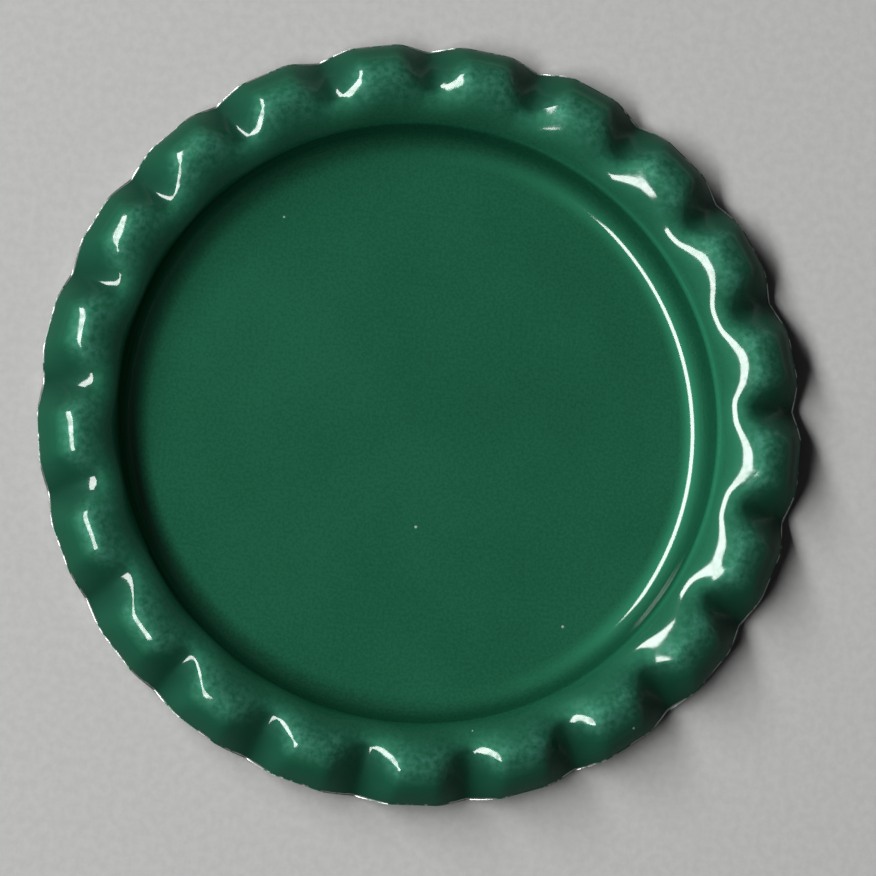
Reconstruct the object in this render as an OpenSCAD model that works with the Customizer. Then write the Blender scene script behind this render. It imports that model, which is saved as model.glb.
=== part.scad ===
// Flattened crown bottle cap: one pressed disc of lacquered tinplate.
// It lies open side up, flat panel on the table, with its origin at the middle
// of the panel's underside and +Z along the cap's axis.
// The fluted skirt is rolled over and pressed outwards, so each crimp stands up
// as a knuckle and each flute between two crimps lies down as a groove.

/* [Overall] */
// Thickness of the tinplate
sheet = 0.25; // [0.2:0.01:0.3]
// Diameter over the knuckles' corners
outer_d = 35; // [29:0.1:42]
// From the edge of the flat floor out to the rim
skirt_width = 5.35; // [4.5:0.05:6.4]

/* [Recess] */
// Depth from the knuckles' crests to the floor
recess_depth = 2.65; // [2.2:0.05:3.2]
// Inside radius where the floor turns up into the wall
floor_fillet = 1.45; // [1:0.05:1.7]
// Slope of the wall above the floor, in degrees
wall_angle = 63; // [55:1:70]
// Radius of the shoulder where the wall leans over outwards
shoulder_r = 0.8; // [0.5:0.05:1]
// Slope of the ramp from the shoulder up to a crest, in degrees
ramp_angle = 34; // [30:1:38]
// Radius over the crests of knuckles and grooves
crest_r = 0.95; // [0.7:0.05:1.2]
// Slope at which a crest's arc gives way to the lip, in degrees
lip_angle = 22; // [15:1:30]

/* [Knuckles] */
// Length of the ramp below a knuckle's crest
knuckle_ramp = 1.4; // [1.1:0.05:1.6]
// Height of the inside face at the rim below a knuckle
knuckle_rim = 1.2; // [0.9:0.05:1.6]

/* [Grooves] */
// Number of grooves, and of knuckles, round the cap
flutes = 21; // [17:1:25]
// Length of the ramp below a groove's crest
groove_ramp = 0.36; // [0.2:0.01:0.6]
// Height of the inside face at the end of a groove
groove_rim = 0.42; // [0.35:0.01:0.6]
// How far the rim is drawn in at each groove
notch_depth = 0.27; // [0.1:0.01:0.5]

/* [Crimps] */
// Half the width of a knuckle's crown at its crest, as a share of a flute
crown_at_crest = 0.1; // [0.05:0.01:0.15]
// Half the width of a knuckle's crown at the rim, as a share of a flute
crown_at_rim = 0.23; // [0.18:0.01:0.28]
// Half the width of a groove's floor at its crest, as a share of a flute
floor_at_crest = 0.12; // [0.08:0.01:0.2]
// How softly crown, side wall and groove run into each other at the crest
softness_at_crest = 0.26; // [0.2:0.01:0.5]
// How softly they run into each other at the rim
softness_at_rim = 0.2; // [0.1:0.01:0.3]

/* [Hidden] */
lacquer = [0.05, 0.34, 0.22];

// Columns of each flute, as shares of it from the knuckle's middle: closer together on the side walls
phases = [-0.5, -0.36, -0.28, -0.2, -0.1, 0, 0.1, 0.2, 0.28, 0.36];
columns = len(phases)*flutes;
// Rings of the skirt: below 0 on the wall, 0 to 1 over the shoulder, 1 to 2 up the ramp,
// 2 to 3 up to the crest, 3 to 4 down from it and 4 to 5 over the lip to the rim
rings = [-1, 0, 0.5, 1, 2, 2.5, 3, 3.5, 4, 4.3, 4.65, 5];
crest_start = 2;
rim_ring = 5;
// How far the skirt's root runs down inside the wall, and how far inside its faces it lies
root_length = 0.45;
root_inset = 0.012;
// Height left between the dish's edge and the top of the wall
wall_end = 0.2;
fillet_steps = 16;
step_u = 0.01;
step_a = 0.05;

outer_r = outer_d/2;
floor_r = outer_r - skirt_width;
flute_angle = 360/flutes;

function mix(from, to, share) = from + (to - from)*share;
function unit(v) = v/norm(v);
function slope(angle) = [cos(angle), sin(angle)];

// The run along an arc, outwards and up, while its slope changes from one angle to another
function bend(radius, from, to) = radius*[sin(from) - sin(to), cos(to) - cos(from)];

wall_foot = [floor_r + floor_fillet*sin(wall_angle), sheet + floor_fillet*(1 - cos(wall_angle))];
// The wall fills what the bends and the ramp leave of the height from its foot to a knuckle's crest
bends_rise = bend(shoulder_r, wall_angle, ramp_angle)[1] + bend(crest_r, ramp_angle, 0)[1];
wall_rise = sheet + recess_depth - wall_foot[1] - bends_rise - knuckle_ramp*sin(ramp_angle);
wall_run = wall_rise/sin(wall_angle);
wall_top = wall_foot + wall_run*slope(wall_angle);
ramp_foot = wall_top + bend(shoulder_r, wall_angle, ramp_angle);

// 0 below 0 and 1 above 1, with a straight rise between and softened corners
function soft_step(x, softness) =
    (norm([x, softness]) - norm([x - 1, softness]) + 1)/2;

// 1 on a knuckle's crown and 0 in a groove's floor; from crest to rim the crown widens and the floor closes
function knuckle_share(u, a) =
    let (
        turn = a/flute_angle,
        phase = abs(turn - round(turn)),
        spread = max(0, min(1, (u - crest_start)/(rim_ring - crest_start))),
        crown = mix(crown_at_crest, crown_at_rim, spread),
        edge = 0.5 - floor_at_crest*(1 - spread*spread),
        softness = mix(softness_at_crest, softness_at_rim, spread),
        rise = function(p) soft_step((edge - p)/(edge - crown), softness)
    )
    (rise(phase) - rise(0.5))/(rise(0) - rise(0.5));

// Radius of the rim: straight across each knuckle, and drawn in at each groove
function rim_radius(a, share) =
    let (
        corner = crown_at_rim*flute_angle,
        across = abs(a - flute_angle*round(a/flute_angle)),
        chord = outer_r*cos(corner)/cos(min(across, corner))
    )
    min(chord, outer_r - notch_depth*(1 - share));

// How much further the lip turns down on its arc to the rim
function lip_turn(away) = -2*(atan2(away[1], away[0]) + lip_angle);

// A point on the inside face of the skirt, at ring u and angle a
function skirt_point(u, a) =
    let (
        share = knuckle_share(u, a),
        ramp_top = ramp_foot + mix(groove_ramp, knuckle_ramp, share)*slope(ramp_angle),
        crest = ramp_top + bend(crest_r, ramp_angle, 0),
        lip_top = crest + bend(crest_r, 0, -lip_angle),
        rim = [rim_radius(a, share), mix(groove_rim, knuckle_rim, share)],
        turn = lip_turn(rim - lip_top),
        lip_r = norm(rim - lip_top)/(2*sin(turn/2)),
        p = u < 0 ? wall_top + u*root_length*slope(wall_angle)
          : u < 1 ? wall_top + bend(shoulder_r, wall_angle, mix(wall_angle, ramp_angle, u))
          : u < 2 ? mix(ramp_foot, ramp_top, u - 1)
          : u < 3 ? ramp_top + bend(crest_r, ramp_angle, ramp_angle*(3 - u))
          : u < 4 ? crest + bend(crest_r, 0, -lip_angle*(u - 3))
          : lip_top + bend(lip_r, -lip_angle, -lip_angle - turn*(u - 4))
    )
    [p[0]*cos(a), p[0]*sin(a), p[1]];

// Square to the sheet, pointing up out of its inside face
function skirt_normal(u, a) =
    let (
        outwards = skirt_point(u + step_u, a) - skirt_point(u - step_u, a),
        round = skirt_point(u, a + step_a) - skirt_point(u, a - step_a)
    )
    unit(cross(outwards, round));

// The sheet's section at angle a: its inside face from the wall to the rim, then its outside face back
function section(a) =
    let (
        last = len(rings) - 1,
        inset = function(i) i == 0 ? root_inset : 0
    )
    [
        for (i = [0:last]) skirt_point(rings[i], a) - skirt_normal(rings[i], a)*inset(i),
        for (i = [last:-1:0]) skirt_point(rings[i], a) - skirt_normal(rings[i], a)*(sheet - inset(i))
    ];

// Two triangles between neighbouring columns, cut the same way on both sides of every knuckle
function patch(j, k, size) =
    let (
        near = j*size,
        far = ((j + 1) % columns)*size,
        next = (k + 1) % size,
        rising = (j % len(phases)) < len(phases)/2
    )
    rising
        ? [[near + k, far + k, near + next], [near + next, far + k, far + next]]
        : [[near + k, far + next, near + next], [near + k, far + k, far + next]];

module fluted_skirt() {
    size = 2*len(rings);
    points = [for (j = [0:flutes - 1]) for (phase = phases) each section((j + phase)*flute_angle)];
    faces = [for (j = [0:columns - 1]) for (k = [0:size - 1]) each patch(j, k, size)];
    polyhedron(points, faces);
}

// Points along an arc, from one angle to another
function arc(centre, radius, from, to) =
    [for (i = [0:fillet_steps]) centre + radius*slope(mix(from, to, i/fillet_steps))];

// The point where the wall's line, drawn up from p, reaches height z
function wall_at(p, z) = [p[0] + (z - p[1])/tan(wall_angle), z];

// Floor and wall, up to where the skirt takes over
module dish() {
    centre = [floor_r, sheet + floor_fillet];
    top_z = wall_top[1] - wall_end;
    inner = arc(centre, floor_fillet, wall_angle - 90, -90);
    outer = arc(centre, floor_fillet + sheet, -90, wall_angle - 90);
    rotate_extrude($fn = columns) polygon([
        [0, 0],
        each outer,
        wall_at(outer[fillet_steps], top_z),
        wall_at(inner[0], top_z),
        each inner,
        [0, sheet]
    ]);
}

module cap() {
    color(lacquer) union() {
        dish();
        fluted_skirt();
    }
}

cap();
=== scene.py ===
import math

import bpy
from mathutils import Matrix, Vector


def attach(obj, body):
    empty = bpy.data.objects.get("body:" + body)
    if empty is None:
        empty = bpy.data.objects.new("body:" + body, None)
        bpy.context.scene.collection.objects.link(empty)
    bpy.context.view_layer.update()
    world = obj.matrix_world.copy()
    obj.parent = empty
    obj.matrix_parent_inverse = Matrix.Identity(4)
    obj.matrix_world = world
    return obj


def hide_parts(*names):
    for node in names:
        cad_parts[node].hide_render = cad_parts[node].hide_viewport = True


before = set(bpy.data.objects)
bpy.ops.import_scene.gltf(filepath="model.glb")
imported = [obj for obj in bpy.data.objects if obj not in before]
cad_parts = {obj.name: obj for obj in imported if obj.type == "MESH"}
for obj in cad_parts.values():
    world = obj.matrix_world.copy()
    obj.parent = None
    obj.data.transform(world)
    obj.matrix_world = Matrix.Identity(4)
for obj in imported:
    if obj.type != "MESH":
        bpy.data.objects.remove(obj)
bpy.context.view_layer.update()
mm = 0.001

# helpers for node trees
nodeGap = (200, -180)   # between nodes in the editor, across and down
nodesPerColumn = 8
socketKinds = {float: "NodeSocketFloat", int: "NodeSocketInt"}
mixSockets = (0, 6, 7)  # the Mix node's factor and its two colours


class Field:
    # a value from a node, so that sums can be written as sums
    def __init__(self, tree, socket):
        self.tree = tree
        self.socket = socket

    def math(self, operation, *others, clamp=False):
        node = addNode(self.tree, "ShaderNodeMath", operation=operation, use_clamp=clamp)
        for value, socket in zip((self, *others), node.inputs):
            feed(self.tree, value, socket)
        return Field(self.tree, node.outputs[0])

    def __add__(self, other):
        return self.math("ADD", other)

    def __radd__(self, other):
        return self.math("ADD", other)

    def __sub__(self, other):
        return self.math("SUBTRACT", other)

    def __rsub__(self, other):
        return self.math("MULTIPLY", -1) + other

    def __mul__(self, other):
        return self.math("MULTIPLY", other)

    def __rmul__(self, other):
        return self.math("MULTIPLY", other)

    def __truediv__(self, other):
        return self.math("DIVIDE", other)

    def __rtruediv__(self, other):
        return self.math("POWER", -1) * other

    def sin(self):
        return self.math("SINE")

    def cos(self):
        return self.math("COSINE")

    def sqrt(self):
        return self.math("SQRT")

    def radians(self):
        return self.math("RADIANS")

    def clamp(self):
        return self.math("ADD", 0, clamp=True)


def feed(tree, value, socket):
    # a link from another node, or a plain value
    if isinstance(value, Field):
        value = value.socket
    if isinstance(value, bpy.types.NodeSocket):
        tree.links.new(value, socket)
    else:
        socket.default_value = value


def addNode(tree, kind, inputs=None, **settings):
    node = tree.nodes.new(kind)
    column, row = divmod(len(tree.nodes), nodesPerColumn)
    node.location = (nodeGap[0] * column, nodeGap[1] * row)
    for name, value in settings.items():
        setattr(node, name, value)
    for name, value in (inputs or {}).items():
        feed(tree, value, node.inputs[name])
    return node


def makeGroup(name, kind, inputs, outputs):
    # each input is given by its default number, or by its kind of socket
    tree = bpy.data.node_groups.new(name, kind)
    for label, value in inputs.items():
        isNumber = type(value) in socketKinds
        socketKind = socketKinds[type(value)] if isNumber else value
        item = tree.interface.new_socket(name=label, in_out="INPUT", socket_type=socketKind)
        if isNumber:
            item.default_value = value
    for label, socketKind in outputs.items():
        tree.interface.new_socket(name=label, in_out="OUTPUT", socket_type=socketKind)
    start = addNode(tree, "NodeGroupInput")
    given = {label: Field(tree, start.outputs[label]) for label in inputs}
    return tree, given, addNode(tree, "NodeGroupOutput")


def useGroup(tree, group, inputs):
    kind = "GeometryNodeGroup" if group.bl_idname == "GeometryNodeTree" else "ShaderNodeGroup"
    node = addNode(tree, kind, inputs, node_tree=group)
    return {socket.name: Field(tree, socket) for socket in node.outputs}


def mix(start, end, share):
    return share * (end - start) + start


def smoothStep(value, low, high):
    # 0 below low, 1 above high
    node = addNode(value.tree, "ShaderNodeMapRange", {"Value": value, "From Min": low, "From Max": high},
                   interpolation_type="SMOOTHSTEP")
    return Field(value.tree, node.outputs["Result"])


def splitVector(tree, vector):
    node = addNode(tree, "ShaderNodeSeparateXYZ", {"Vector": vector})
    return [Field(tree, socket) for socket in node.outputs]


def joinVector(tree, x, y, z):
    return addNode(tree, "ShaderNodeCombineXYZ", {"X": x, "Y": y, "Z": z}).outputs[0]


def scaleVector(tree, vector, factor):
    node = addNode(tree, "ShaderNodeVectorMath", {"Vector": vector, "Scale": factor}, operation="SCALE")
    return node.outputs[0]


def stretchVector(tree, vector, factors):
    node = addNode(tree, "ShaderNodeVectorMath", {"Vector": vector}, operation="MULTIPLY")
    node.inputs[1].default_value = factors
    return node.outputs[0]


# the pressed sheet: sizes in millimetres and degrees
capSizes = {
    "Flutes": 21,
    "Sheet": 0.25,
    "Outer diameter": 34.95,
    "Skirt width": 5.35,
    "Recess depth": 2.65,
    "Floor fillet": 1.45,
    "Wall angle": 63.0,
    "Shoulder radius": 0.8,
    "Ramp angle": 34.0,
    "Ramp bulge": 18.5,         # how far the ramp's slope turns either side of that
    "Crest lead radius": 0.75,  # up to the crest
    "Crest radius": 0.95,       # down from it
    "Lip angle": 22.0,
    "Knuckle ramp": 2.127,
    "Knuckle rim": 1.2,
    "Groove ramp": 1.0,
    "Groove rim": 0.42,
    "Notch depth": 0.27,
    "Crown at crest": 0.1,      # half the width of a crown or of a groove's floor, as a share of a flute
    "Crown at rim": 0.23,
    "Floor at crest": 0.12,
    "Softness at crest": 0.26,
    "Softness at rim": 0.2,
    "Burr": 0.07,               # radius that the shear leaves turned up along the rim
    "Burr turn": 62.0,
    "Burr reach": 0.6,          # how far the burr curls back and up from the rim, as a share of its radius
    "Knuckle spread": 0.09,     # how much one knuckle's ramp differs from the next
    "Rim spread": 0.14,
    "Knuckle skew": 0.035,
    "Hand of the press": 0.022,  # waviness of the pressed skirt
    "Wave draw": 0.3,           # how much the waves pull the skirt inwards, and how far they sink it
    "Wave sink": 0.7,
    "Dents": 0.05,              # small dents on the crests
    "Dent level": 0.12,         # the unevenness below which a dent shows
    "Dish shift": 0.19,         # how far the dish was pressed off the skirt's middle
    "Shift direction": 198.0,
    "Map length": 110.0,        # the sheet's flat map: right round, and along one part of its section
    "Map part": 2.1,
    "Columns per flute": 28,
    "Rings per bend": 7,
    "Seed": 4,
}
mergeDistance = 1e-6    # metres between points that become one
sharpAngle = 50         # degrees between faces that keep a sharp edge

# the parts of the sheet's section from the middle outwards, each one unit long
sectionParts = ("floor", "fillet", "wall", "shoulder", "ramp", "crestLead", "crest", "lip", "burr")
# where along the section a mark fades in, and where it fades out again
markZones = {
    "waves": (3.2, 5.0),
    "dents": (4.3, 5.3, 7.0, 7.4),
    "offDish": (2.6, 5.0),
    "skirt": (3.4, 4.5),
    "lip": (4.4, 5.2),
    "wall": (1.4, 2.2, 3.5, 4.25),
    "shoulder": (2.5, 2.9, 4.0, 4.3),
    "gap": (6.0, 7.4),
    "crest": (4.2, 5.3, 7.05, 7.45),
}
pressMarks = {"waves": {"Scale": 0.62, "Detail": 1.5}, "dents": {"Scale": 1.15, "Detail": 1.0}}
# how strongly the crest is rubbed in a groove, on a crown and along a crown's edge; this also sets where a
# painted sheen goes
crestRubAndSheen = {"groove": 0.3, "crown": 0.8, "edge": 0.35, "edgeShare": 0.72, "edgeFade": 4}
edgeSlack = 0.03            # millimetres of lacquer that a crown keeps along its rim
steepTilt = (0.66, 0.82)    # the face normal's height over which a side wall stops being steep


def makeBendGroup():
    # the run along an arc while its slope changes; a negative radius curls upwards
    tree, given, end = makeGroup("bend", "GeometryNodeTree",
                                 {"Radius": 1.0, "From": 0.0, "To": 1.0, "Along": 1.0},
                                 {"Out": "NodeSocketFloat", "Up": "NodeSocketFloat"})
    slope = mix(given["From"], given["To"], given["Along"])
    feed(tree, given["Radius"] * (given["From"].sin() - slope.sin()), end.inputs["Out"])
    feed(tree, given["Radius"] * (slope.cos() - given["From"].cos()), end.inputs["Up"])
    return tree


crimpNames = ("Crown at crest", "Crown at rim", "Floor at crest", "Softness at crest", "Softness at rim")


def makeShareGroup():
    # 1 on a knuckle's crown and 0 in a groove; the crown widens and the groove closes from crest to rim
    inputs = {"Phase": 0.0, "Spread": 0.0, **{name: capSizes[name] for name in crimpNames}}
    tree, given, end = makeGroup("knuckleShare", "GeometryNodeTree", inputs, {"Share": "NodeSocketFloat"})
    spread = given["Spread"]
    crown = mix(given["Crown at crest"], given["Crown at rim"], spread)
    edge = 0.5 - given["Floor at crest"] * (1 - spread * spread)
    softness = mix(given["Softness at crest"], given["Softness at rim"], spread)

    def rise(phase):
        x = (edge - phase) / (edge - crown)
        near = (x * x + softness * softness).sqrt()
        far = ((x - 1) * (x - 1) + softness * softness).sqrt()
        return (near - far + 1) * 0.5

    low, high = rise(0.5), rise(0.0)
    feed(tree, (rise(given["Phase"]) - low) / (high - low), end.inputs["Share"])
    return tree


def zone(section, name):
    # 1 inside one of the zones and 0 outside it
    limits = markZones[name]
    inside = smoothStep(section, *limits[:2])
    if len(limits) > 2:
        inside = inside * (1 - smoothStep(section, *limits[2:]))
    return inside


def storeAttribute(tree, geometry, name, value, dataType="FLOAT", domain="POINT"):
    node = addNode(tree, "GeometryNodeStoreNamedAttribute", data_type=dataType, domain=domain)
    for label, given in (("Geometry", geometry), ("Name", name), ("Value", value)):
        feed(tree, given, node.inputs[label])
    return node.outputs[0]


def readAttribute(tree, name, dataType="FLOAT"):
    return addNode(tree, "GeometryNodeInputNamedAttribute", {"Name": name}, data_type=dataType).outputs[0]


def addRuns(runs):
    # how far a row of bends and straights leads, outwards and up
    return sum(run[0] for run in runs), sum(run[1] for run in runs)


def thickenSheet(tree, inside, sheet):
    # the outside face lies one sheet below the inside one, and the cut edge joins the two
    normal = addNode(tree, "GeometryNodeInputNormal").outputs[0]
    sideWall = 1 - smoothStep(splitVector(tree, normal)[2], *steepTilt)
    # the lip's steep side walls, which get painted shade in the lacquer's colour
    steep = sideWall * Field(tree, readAttribute(tree, "lip"))
    face = storeAttribute(tree, inside, "steep", steep)
    face = storeAttribute(tree, face, "square", normal, "FLOAT_VECTOR")
    pushed = addNode(tree, "GeometryNodeExtrudeMesh", {
        "Mesh": face, "Offset Scale": 0.0, "Individual": False}, mode="FACES")
    mesh, side = pushed.outputs["Mesh"], pushed.outputs["Side"]
    edged = storeAttribute(tree, mesh, "cutEdge", side, "BOOLEAN", "FACE")
    oneSheet = scaleVector(tree, readAttribute(tree, "square", "FLOAT_VECTOR"), sheet * -mm)
    lowered = addNode(tree, "GeometryNodeSetPosition", {
        "Geometry": edged, "Selection": pushed.outputs["Top"], "Offset": oneSheet})
    turned = addNode(tree, "GeometryNodeFlipFaces", {"Mesh": lowered.outputs[0]})
    joined = addNode(tree, "GeometryNodeJoinGeometry", {"Geometry": turned.outputs[0]})
    feed(tree, face, joined.inputs[0])
    closed = addNode(tree, "GeometryNodeMergeByDistance", {
        "Geometry": joined.outputs[0], "Distance": mergeDistance})
    plain = addNode(tree, "GeometryNodeRemoveAttribute", {"Geometry": closed.outputs[0], "Name": "square"})
    return addNode(tree, "GeometryNodeSetShadeSmooth", {"Geometry": plain.outputs[0]}).outputs[0]


def makeCapTree():
    bendGroup, shareGroup = makeBendGroup(), makeShareGroup()
    finishes = {"Face finish": "NodeSocketMaterial", "Edge finish": "NodeSocketMaterial"}
    tree, given, end = makeGroup("pressedCap", "GeometryNodeTree", {**capSizes, **finishes},
                                 {"Geometry": "NodeSocketGeometry"})
    size = {name: given[name] for name in capSizes}

    def bend(radius, first, last, along=1.0):
        run = useGroup(tree, bendGroup, {"Radius": radius, "From": first, "To": last, "Along": along})
        return run["Out"], run["Up"]

    def straight(length, slope, along=1.0):
        return length * along * slope.cos(), length * along * slope.sin()

    def randomPer(index, offset):
        # from -1 to 1, the same for every point of one knuckle or groove
        node = addNode(tree, "FunctionNodeRandomValue", data_type="FLOAT")
        sockets = {socket.name: socket for socket in node.inputs if socket.enabled}
        for name, value in {"Min": -1.0, "Max": 1.0, "ID": index, "Seed": size["Seed"] + offset}.items():
            feed(tree, value, sockets[name])
        return Field(tree, [socket for socket in node.outputs if socket.enabled][0])

    # a flat grid: across it runs round the cap, up it runs from the middle to the rim
    grid = addNode(tree, "GeometryNodeMeshGrid", {
        "Size X": 1.0, "Size Y": 1.0,
        "Vertices X": size["Flutes"] * size["Columns per flute"] + 1,
        "Vertices Y": size["Rings per bend"] * len(sectionParts) + 1})
    across, upwards, _ = splitVector(tree, addNode(tree, "GeometryNodeInputPosition").outputs[0])
    wayRound = 0.5 - across
    section = (upwards + 0.5) * len(sectionParts)
    along = {name: (section - i).clamp() for i, name in enumerate(sectionParts)}

    # where on its flute a point lies
    turn = wayRound * size["Flutes"]
    knuckle = turn.math("ROUND")
    offCentre = turn - knuckle
    knuckleId = knuckle.math("FLOORED_MODULO", size["Flutes"])
    grooveId = turn.math("FLOOR").math("FLOORED_MODULO", size["Flutes"])
    skew = randomPer(knuckleId, 1) * size["Knuckle skew"]
    phase = (offCentre + skew * (1 - offCentre * offCentre * 4)).math("ABSOLUTE")
    crestStart, burrStart = sectionParts.index("crestLead"), sectionParts.index("burr")
    spread = ((section - crestStart) / (burrStart - crestStart)).clamp()
    crimps = {name: size[name] for name in crimpNames}
    share = useGroup(tree, shareGroup, {"Phase": phase, "Spread": spread, **crimps})["Share"]

    # each knuckle and groove was crimped a little differently
    knuckleRamp = size["Knuckle ramp"] + (randomPer(knuckleId, 2) - 1) * size["Knuckle spread"] * 0.5
    knuckleRim = size["Knuckle rim"] + randomPer(knuckleId, 3) * size["Rim spread"]
    grooveRamp = size["Groove ramp"] + randomPer(grooveId, 4) * size["Knuckle spread"] * 0.5
    grooveRim = size["Groove rim"] + (randomPer(grooveId, 5) + 1) * size["Rim spread"] * 0.5

    wallAngle, rampAngle, lipAngle, burrTurn, bulge = (
        size[name].radians() for name in ("Wall angle", "Ramp angle", "Lip angle", "Burr turn", "Ramp bulge"))
    rampFoot, rampTop = rampAngle + bulge, rampAngle - bulge
    ramp = mix(grooveRamp, knuckleRamp, share)
    outerRadius = size["Outer diameter"] * 0.5
    floorRadius = outerRadius - size["Skirt width"]

    # the wall fills what the bends and a knuckle's ramp leave of the recess's depth
    filletRun = bend(size["Floor fillet"] * -1, 0.0, wallAngle)
    shoulderRun = bend(size["Shoulder radius"], wallAngle, rampFoot)
    leadRun = bend(size["Crest lead radius"], rampTop, 0.0)
    fullRamp = straight(size["Knuckle ramp"], rampAngle)
    wallRise = size["Recess depth"] - addRuns([filletRun, shoulderRun, leadRun, fullRamp])[1]
    wallLength = wallRise / wallAngle.sin()

    # the rim is straight across each knuckle and drawn in at each groove
    fluteAngle = 2 * math.pi / size["Flutes"]
    corner = size["Crown at rim"] * fluteAngle
    offMiddle = (phase * fluteAngle).math("MINIMUM", corner)
    chord = outerRadius * corner.cos() / offMiddle.cos()
    rimRadius = chord.math("MINIMUM", outerRadius - size["Notch depth"] * (1 - share))
    rimHeight = mix(grooveRim, knuckleRim, share) - size["Sheet"]

    # past the crest the sheet turns down to the lip's angle, and the lip's own arc ends at the rim
    crestDrop = bend(size["Crest radius"], 0.0, lipAngle * -1)
    wallRun, rampRun = straight(wallLength, wallAngle), straight(ramp, rampAngle)
    before = addRuns([(floorRadius, 0), filletRun, wallRun, shoulderRun, rampRun, leadRun, crestDrop])
    burrReach = size["Burr"] * size["Burr reach"]
    awayOut = rimRadius - burrReach - before[0]
    awayUp = rimHeight + burrReach - before[1]
    away = (awayOut * awayOut + awayUp * awayUp).sqrt()
    lipTurn = (awayUp.math("ARCTAN2", awayOut) * -1 - lipAngle) * 2
    lipRadius = away / ((lipTurn * 0.5).sin() * 2)
    lipEnd = lipAngle + lipTurn

    out, up = addRuns([
        (floorRadius * along["floor"], 0),
        bend(size["Floor fillet"] * -1, 0.0, wallAngle, along["fillet"]),
        straight(wallLength, wallAngle, along["wall"]),
        bend(size["Shoulder radius"], wallAngle, rampFoot, along["shoulder"]),
        bend(ramp / (bulge.sin() * 2), rampFoot, rampTop, along["ramp"]),
        bend(size["Crest lead radius"], rampTop, 0.0, along["crestLead"]),
        bend(size["Crest radius"], 0.0, lipAngle * -1, along["crest"]),
        bend(lipRadius, lipAngle * -1, lipEnd * -1, along["lip"]),
        bend(size["Burr"] * -1, lipEnd * -1, burrTurn - lipEnd, along["burr"])])
    up = up + size["Sheet"]
    angle = wayRound * (2 * math.pi)

    # soft waves that the press left on the skirt, and small dents on its crests
    smoothPlace = joinVector(tree, out * angle.cos(), out * angle.sin(), up)

    def unevenness(name, draw):
        noise = addNode(tree, "ShaderNodeTexNoise", {
            "Vector": smoothPlace, "W": size["Seed"] * draw, **pressMarks[name]}, noise_dimensions="4D")
        return Field(tree, noise.outputs[0]) - 0.5

    waved = zone(section, "waves")
    push = unevenness("waves", 1.0) * 2 * size["Hand of the press"] * waved
    dented = unevenness("dents", 2.0).math("MINIMUM", size["Dent level"]) - size["Dent level"]
    push = push + dented * size["Dents"] * zone(section, "dents")
    out = out - push.math("ABSOLUTE") * size["Wave draw"]
    up = up + push - size["Hand of the press"] * size["Wave sink"] * waved

    # a flat map of the sheet and the distance from its cut edge, both in millimetres,
    # then the zones where the press stretched, rubbed and dulled the lacquer, which also carry the painted
    # shade and the painted sheen of the lacquer's colour
    flatMap = joinVector(tree, wayRound * size["Map length"], section * size["Map part"], 0.0)
    marked = storeAttribute(tree, grid.outputs["Mesh"], "UVMap", flatMap, "FLOAT2", "CORNER")
    crownEdge = (1 - (share - crestRubAndSheen["edgeShare"]).math("ABSOLUTE") * crestRubAndSheen["edgeFade"]).clamp()
    rubbedAndSheen = mix(crestRubAndSheen["groove"], crestRubAndSheen["crown"], share) + crownEdge * crestRubAndSheen["edge"]
    marks = {name: zone(section, name) for name in ("skirt", "lip", "wall", "shoulder")}
    # painted shade deep in each groove's outer gap, where the coat is also duller
    marks["gap"] = (1 - share) * (1 - share) * zone(section, "gap")
    marks["crest"] = zone(section, "crest") * rubbedAndSheen
    marks["fromEdge"] = (1 - along["lip"]) * lipRadius * lipTurn + share * edgeSlack
    for name, value in marks.items():
        marked = storeAttribute(tree, marked, name, value)

    # the dish was pressed a little off the skirt's middle
    shift = (1 - zone(section, "offDish")) * size["Dish shift"]
    shiftAngle = size["Shift direction"].radians()
    place = joinVector(tree, (out * angle.cos() + shift * shiftAngle.cos()) * mm,
                       (out * angle.sin() + shift * shiftAngle.sin()) * mm, up * mm)
    moved = addNode(tree, "GeometryNodeSetPosition", {"Geometry": marked, "Position": place})
    inside = addNode(tree, "GeometryNodeMergeByDistance", {
        "Geometry": moved.outputs[0], "Distance": mergeDistance})

    solid = thickenSheet(tree, inside.outputs[0], size["Sheet"])
    real = addNode(tree, "GeometryNodeRealizeInstances", {"Geometry": solid})
    faced = addNode(tree, "GeometryNodeSetMaterial", {
        "Geometry": real.outputs[0], "Material": given["Face finish"]})
    finished = addNode(tree, "GeometryNodeSetMaterial", {
        "Geometry": faced.outputs[0], "Material": given["Edge finish"],
        "Selection": readAttribute(tree, "cutEdge", "BOOLEAN")})
    feed(tree, finished.outputs[0], end.inputs["Geometry"])
    return tree


def setInputs(modifier, values):
    for item in modifier.node_group.interface.items_tree:
        if item.item_type == "SOCKET" and item.in_out == "INPUT" and item.name in values:
            modifier[item.identifier] = values[item.name]


def buildCap(faceFinish, edgeFinish):
    maker = bpy.data.objects.new("capMaker", bpy.data.meshes.new("capMaker"))
    bpy.context.scene.collection.objects.link(maker)
    modifier = maker.modifiers.new("pressedCap", "NODES")
    modifier.node_group = makeCapTree()
    setInputs(modifier, {**capSizes, "Face finish": faceFinish, "Edge finish": edgeFinish})
    graph = bpy.context.evaluated_depsgraph_get()
    shaped = bpy.data.meshes.new_from_object(maker.evaluated_get(graph), depsgraph=graph)
    maker.modifiers.remove(modifier)
    bpy.data.objects.remove(maker)
    shaped.name = "capSheet"
    shaped.set_sharp_from_angle(angle=math.radians(sharpAngle))
    cap = bpy.data.objects.new("capSheet", shaped)
    bpy.context.scene.collection.objects.link(cap)
    print("cap:", len(shaped.vertices), "points,", len(shaped.polygons), "faces,",
          [material.name if material else "no finish" for material in shaped.materials])
    return cap


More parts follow.
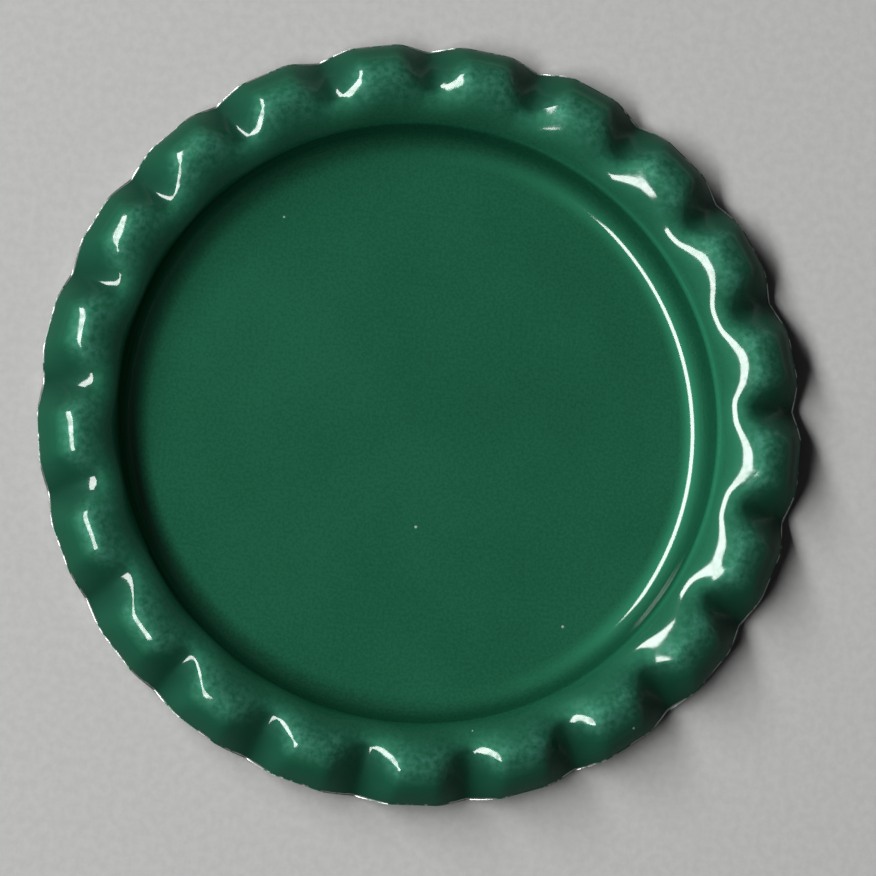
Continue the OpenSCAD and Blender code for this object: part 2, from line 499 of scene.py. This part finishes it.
# finishes: colours, then patterns, with their scales per millimetre and their heights in millimetres
lacquerLook = {
    "deepGreen": (0.0085, 0.080, 0.040, 1),
    "paleGreen": (0.0145, 0.118, 0.062, 1),
    "hazeAndSheenGreen": (0.028, 0.126, 0.084, 1),
    "darkShadeGreen": (0.0026, 0.042, 0.022, 1),
    "gapShadeGreen": (0.0012, 0.018, 0.010, 1),
    "dustColour": (0.30, 0.42, 0.36, 1),
    "tin": (0.36, 0.38, 0.37, 1),
    "specularTint": (0.5, 1.0, 0.8, 1),
    "specular": 0.12,
    "coatRoughness": 0.088,
    "satin": {"Scale": 7.5, "Detail": 2.5, "Height": 0.0022},
    "peel": {"Scale": 0.9, "Detail": 1.0, "Height": 0.004},
    "cloud": {"Scale": 0.16, "Detail": 2.0, "Height": 0.0},
    "blotch": {"Scale": 3.6, "Detail": 5.0, "Height": 0.02},
    "ragged": {"Scale": 2.2, "Detail": 4.0, "Height": 0.0},
    "drawn": {"Scale": 2.4, "Detail": 3.0, "Height": 0.006},
    "drawnStretch": (0.06, 1.5, 1.0),
    "dust": {"Spacing": 3.6, "Size": 0.07, "Share": 0.1},
    "dustCover": 0.85,
    "dustHeight": 0.01,
    "dustEdge": (12.2, 12.8),   # the radius over which the specks stop standing up
    "satinShare": 0.45,         # how much the satin and the cloud count in the mottling
    "cloudShare": 0.35,
    "mottleShare": 0.75,
    "darkerAndShaded": {"skirt": 0.35, "steep": 0.55, "wall": 0.4},
    "gapShadeShare": 0.75,
    "steepSpared": 0.8,       # how much of the rubbing and painted sheen a steep side wall escapes
    "rubAndSheenLeast": 0.1,
    "metallic": 0.75,           # the tinplate seen through the lacquer, and where less of it shows
    "metallicLost": {"skirt": 0.3, "steep": 0.4, "crest": 0.2},
    "roughness": 0.6,
    "satinRoughness": 0.08,
    "crestPolish": 0.08,
    "tinPolish": 0.25,
    "gloss": 0.85,              # of the clear coat, and where the press dulled it
    "glossLost": {"steep": 0.75, "shoulder": 0.8, "gap": 0.1},
    "crestGlossLost": 0.45,
    "drawnGloss": 0.8,
    "chipReach": 0.05,          # bare tin showing along the rim, how soft its edge is and how low it lies
    "chipSoftness": 0.01,
    "chipDepth": 0.008,
}
tinLook = {
    "bright": (0.66, 0.65, 0.62, 1),
    "dull": (0.30, 0.30, 0.28, 1),
    "dullShare": 0.6,
    "roughness": 0.34,
    "dullRoughness": 0.15,
    "drag": {"Scale": 7.0, "Detail": 3.0, "Height": 0.004},
    "dragStretch": (1.0, 1.0, 4.0),
    "stain": {"Scale": 0.8, "Detail": 3.0, "Height": 0.0},
}
tableLook = {
    "light": (0.31, 0.31, 0.306, 1),
    "dark": (0.29, 0.29, 0.286, 1),
    "roughness": 0.85,
    "specular": 0.2,
    "fibre": {"Scale": 2.5, "Detail": 4.0, "Height": 0.01},
}


def makeGrainGroup():
    # fine unevenness: a height for bump and a mask for colour
    tree, given, end = makeGroup(
        "grain", "ShaderNodeTree",
        {"Vector": "NodeSocketVector", "Scale": 1.0, "Detail": 2.0, "Height": 0.001, "Low": 0.3, "High": 0.7},
        {"Height": "NodeSocketFloat", "Mask": "NodeSocketFloat"})
    noise = addNode(tree, "ShaderNodeTexNoise", {
        "Vector": given["Vector"], "Scale": given["Scale"], "Detail": given["Detail"]})
    value = Field(tree, noise.outputs[0])
    feed(tree, (value - 0.5) * given["Height"], end.inputs["Height"])
    feed(tree, smoothStep(value, given["Low"], given["High"]), end.inputs["Mask"])
    return tree


def makeSpecksGroup():
    # sparse round specks of uneven size
    tree, given, end = makeGroup(
        "specks", "ShaderNodeTree",
        {"Vector": "NodeSocketVector", "Spacing": 3.0, "Size": 0.06, "Share": 0.2,
         "Least size": 0.4, "Softness": 0.35},
        {"Mask": "NodeSocketFloat"})
    cells = addNode(tree, "ShaderNodeTexVoronoi", {
        "Vector": given["Vector"], "Scale": 1 / given["Spacing"]}, voronoi_dimensions="2D")
    pick = addNode(tree, "ShaderNodeSeparateColor", {"Color": cells.outputs["Color"]})
    chosen = Field(tree, pick.outputs[0]).math("LESS_THAN", given["Share"])
    reach = given["Size"] * (Field(tree, pick.outputs[1]) + given["Least size"])
    distance = Field(tree, cells.outputs["Distance"]) * given["Spacing"]
    edge = (reach - distance) / (reach * given["Softness"])
    feed(tree, edge.clamp() * chosen, end.inputs["Mask"])
    return tree


def newMaterial(name):
    material = bpy.data.materials.new(name)
    material.use_nodes = True
    tree = material.node_tree
    tree.nodes.clear()
    shader = addNode(tree, "ShaderNodeBsdfPrincipled")
    addNode(tree, "ShaderNodeOutputMaterial", {"Surface": shader.outputs[0]})
    coordinates = addNode(tree, "ShaderNodeTexCoord")
    place = scaleVector(tree, coordinates.outputs["Object"], 1 / mm)
    return material, tree, shader, place


def mixColour(tree, first, second, share):
    node = addNode(tree, "ShaderNodeMix", data_type="RGBA")
    for index, value in zip(mixSockets, (share, first, second)):
        feed(tree, value, node.inputs[index])
    return node.outputs[2]


def addBump(tree, shader, height):
    bump = addNode(tree, "ShaderNodeBump", {"Height": height, "Distance": mm, "Strength": 1.0})
    feed(tree, bump.outputs[0], shader.inputs["Normal"])


def setPlain(shader, values):
    for name, value in values.items():
        shader.inputs[name].default_value = value


def makeLacquer(look, grainGroup, specksGroup):
    material, tree, shader, place = newMaterial("greenLacquer")
    satin, peel, cloud, blotch, ragged = (
        useGroup(tree, grainGroup, {"Vector": place, **look[name]})
        for name in ("satin", "peel", "cloud", "blotch", "ragged"))
    dust = useGroup(tree, specksGroup, {"Vector": place, **look["dust"]})["Mask"]

    # fine rings drawn into the wall of the recess as it was pressed
    unrolled = addNode(tree, "ShaderNodeTexCoord").outputs["UV"]
    stretched = stretchVector(tree, unrolled, look["drawnStretch"])
    drawn = useGroup(tree, grainGroup, {"Vector": stretched, **look["drawn"]})

    marks = {}
    for name in ("skirt", "crest", "steep", "wall", "shoulder", "gap", "fromEdge"):
        attribute = addNode(tree, "ShaderNodeAttribute", attribute_name=name)
        marks[name] = Field(tree, attribute.outputs["Fac"])
    crest, steep, wall, gap = (marks[name] for name in ("crest", "steep", "wall", "gap"))

    def weighted(weights):
        return sum(marks[name] * weight for name, weight in weights.items())

    # bare tin where the lacquer has flaked from the cut edge
    reach = ragged["Mask"] * look["chipReach"]
    bare = smoothStep(reach - marks["fromEdge"], -look["chipSoftness"], look["chipSoftness"])

    # a mottled green; darker over the skirt, with painted shade on the wall and the steep side walls; paler
    # on the crests in blotches of rubbed lacquer that also stand in for a painted sheen; painted shade deep
    # in the gaps
    mottle = satin["Mask"] * look["satinShare"] + cloud["Mask"] * look["cloudShare"]
    # paler crests, from rubbed lacquer and a painted sheen, spared on steep walls
    rubAndSheen = crest * (1 - steep * look["steepSpared"]) * (blotch["Mask"] + look["rubAndSheenLeast"])
    colour = mixColour(tree, look["deepGreen"], look["paleGreen"], (mottle * look["mottleShare"]).clamp())
    # darker over the skirt, and painted shade on the wall and the steep side walls
    colour = mixColour(tree, colour, look["darkShadeGreen"], weighted(look["darkerAndShaded"]))
    colour = mixColour(tree, colour, look["hazeAndSheenGreen"], rubAndSheen)
    # painted shade in the gaps
    colour = mixColour(tree, colour, look["gapShadeGreen"], gap * look["gapShadeShare"])
    colour = mixColour(tree, colour, look["dustColour"], dust * look["dustCover"])
    colour = mixColour(tree, colour, look["tin"], bare)
    feed(tree, colour, shader.inputs["Base Color"])

    metal = (look["metallic"] - weighted(look["metallicLost"])).clamp()
    feed(tree, mix(metal, 1.0, bare), shader.inputs["Metallic"])
    uneven = (satin["Mask"] - 0.5) * look["satinRoughness"]
    polish = crest * look["crestPolish"] + bare * look["tinPolish"]
    feed(tree, uneven + look["roughness"] - polish, shader.inputs["Roughness"])

    # the clear coat: dull where the sheet was stretched, blotchy on the crests, in streaks round the wall
    glossLost = (weighted(look["glossLost"]) + crest * (1 - blotch["Mask"]) * look["crestGlossLost"]
                 + wall * (1 - drawn["Mask"] * look["drawnGloss"]))
    gloss = look["gloss"] - glossLost
    feed(tree, (gloss * (1 - bare)).clamp(), shader.inputs["Coat Weight"])
    setPlain(shader, {"Coat Roughness": look["coatRoughness"], "Specular IOR Level": look["specular"],
                      "Specular Tint": look["specularTint"]})

    x, y, _ = splitVector(tree, place)
    onFloor = 1 - smoothStep((x * x + y * y).sqrt(), *look["dustEdge"])
    height = (satin["Height"] + peel["Height"] + drawn["Height"] * wall + blotch["Height"] * crest
              + dust * onFloor * look["dustHeight"] - bare * look["chipDepth"])
    addBump(tree, shader, height)
    return material


def makeTin(look, grainGroup):
    # the cut edge, with the shear's drag marks
    material, tree, shader, place = newMaterial("bareTin")
    stretched = stretchVector(tree, place, look["dragStretch"])
    drag = useGroup(tree, grainGroup, {"Vector": stretched, **look["drag"]})
    stain = useGroup(tree, grainGroup, {"Vector": place, **look["stain"]})["Mask"]
    colour = mixColour(tree, look["bright"], look["dull"], stain * look["dullShare"])
    feed(tree, colour, shader.inputs["Base Color"])
    feed(tree, stain * look["dullRoughness"] + look["roughness"], shader.inputs["Roughness"])
    setPlain(shader, {"Metallic": 1.0})
    addBump(tree, shader, drag["Height"])
    return material


def makeTable(look, grainGroup):
    material, tree, shader, place = newMaterial("palePaper")
    fibre = useGroup(tree, grainGroup, {"Vector": place, **look["fibre"]})
    feed(tree, mixColour(tree, look["light"], look["dark"], fibre["Mask"]), shader.inputs["Base Color"])
    setPlain(shader, {"Roughness": look["roughness"], "Specular IOR Level": look["specular"]})
    addBump(tree, shader, fibre["Height"])
    return material


grainGroup, specksGroup = makeGrainGroup(), makeSpecksGroup()
lacquer = makeLacquer(lacquerLook, grainGroup, specksGroup)
bareTin = makeTin(tinLook, grainGroup)
print("finishes made")

cap = buildCap(lacquer, bareTin)
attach(cap, "root")
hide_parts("cap")

# table, light and camera, in metres, degrees and watts
tableReach = 0.6    # from the middle to the table's edge
keyLight = {
    "azimuth": 282, "elevation": 48, "distance": 0.5, "lean": 22,
    "width": 0.8, "height": 0.11, "power": 6.9,
}
roomLight = {"horizon": 0.12, "zenith": 0.03, "fade": 4, "colour": (1, 1, 1, 1)}
cameraSizes = {
    "distance": 0.4, "elevation": 82.0, "sideways": 7.0, "roll": 5.686,
    "view": 0.03983,        # across the view, at the floor of the recess
    "floorX": -0.00106, "floorY": 0.00053,   # where the floor's middle shows, from the view's middle
    "clip": (0.01, 10),
}


def addTable():
    mesh = bpy.data.meshes.new("table")
    corners = [(x * tableReach, y * tableReach, 0) for x, y in ((-1, -1), (1, -1), (1, 1), (-1, 1))]
    mesh.from_pydata(corners, [], [(0, 1, 2, 3)])
    mesh.materials.append(makeTable(tableLook, grainGroup))
    table = bpy.data.objects.new("table", mesh)
    bpy.context.scene.collection.objects.link(table)
    return table


def awayTo(azimuth, elevation):
    # a direction, with azimuth clockwise from the top of the view
    turn, rise = math.radians(90 - azimuth + cameraSizes["roll"]), math.radians(elevation)
    return Vector((math.cos(turn) * math.cos(rise), math.sin(turn) * math.cos(rise), math.sin(rise)))


def addSoftbox(name, azimuth, elevation, distance, lean, width, height, power):
    light = bpy.data.lights.new(name, "AREA")
    light.shape = "RECTANGLE"
    light.size, light.size_y, light.energy = width, height, power
    box = bpy.data.objects.new(name, light)
    away = awayTo(azimuth, elevation)
    side = Vector((-away.y, away.x, 0)).normalized()
    facing = Matrix((side, away.cross(side), away)).transposed()
    facing = facing @ Matrix.Rotation(math.radians(lean), 3, "Z")
    box.matrix_world = Matrix.Translation(away * distance) @ facing.to_4x4()
    bpy.context.scene.collection.objects.link(box)


def addRoom(horizon, zenith, fade, colour):
    # paler towards the horizon, as walls are
    world = bpy.data.worlds.new("room")
    world.use_nodes = True
    tree = world.node_tree
    background = tree.nodes["Background"]
    coordinates = addNode(tree, "ShaderNodeTexCoord")
    height = splitVector(tree, coordinates.outputs["Generated"])[2].math("MAXIMUM", 0)
    brightness = (1 - height).math("POWER", fade) * (horizon - zenith) + zenith
    feed(tree, brightness, background.inputs["Strength"])
    feed(tree, colour, background.inputs["Color"])
    bpy.context.scene.world = world


def addCamera(distance, elevation, sideways, roll, view, floorX, floorY, clip):
    turn = Matrix.Rotation(math.radians(roll), 3, "Z")
    elevation = math.radians(elevation)
    forward = Vector((math.sin(math.radians(sideways)), math.cos(elevation), -math.sin(elevation)))
    forward.normalize()
    right = forward.cross(Vector((0, 1, 0))).normalized()
    up = right.cross(forward).normalized()
    forward, right, up = turn @ forward, turn @ right, turn @ up

    # it looks at the floor of the dish, which lies off the skirt's middle
    shiftTurn = Matrix.Rotation(math.radians(capSizes["Shift direction"]), 3, "Z")
    floorMiddle = (shiftTurn @ Vector((capSizes["Dish shift"], 0, capSizes["Sheet"]))) * mm
    target = floorMiddle - right * floorX - up * floorY
    lens = bpy.data.cameras.new("camera")
    lens.lens = lens.sensor_width * distance / view
    lens.clip_start, lens.clip_end = clip
    camera = bpy.data.objects.new("camera", lens)
    facing = Matrix((right, up, -forward)).transposed()
    camera.matrix_world = Matrix.Translation(target - forward * distance) @ facing.to_4x4()
    bpy.context.scene.collection.objects.link(camera)
    bpy.context.scene.camera = camera


addTable()
addSoftbox("key", **keyLight)
addRoom(**roomLight)
addCamera(**cameraSizes)
bpy.context.scene.view_settings.view_transform = "Standard"
print("stage set")
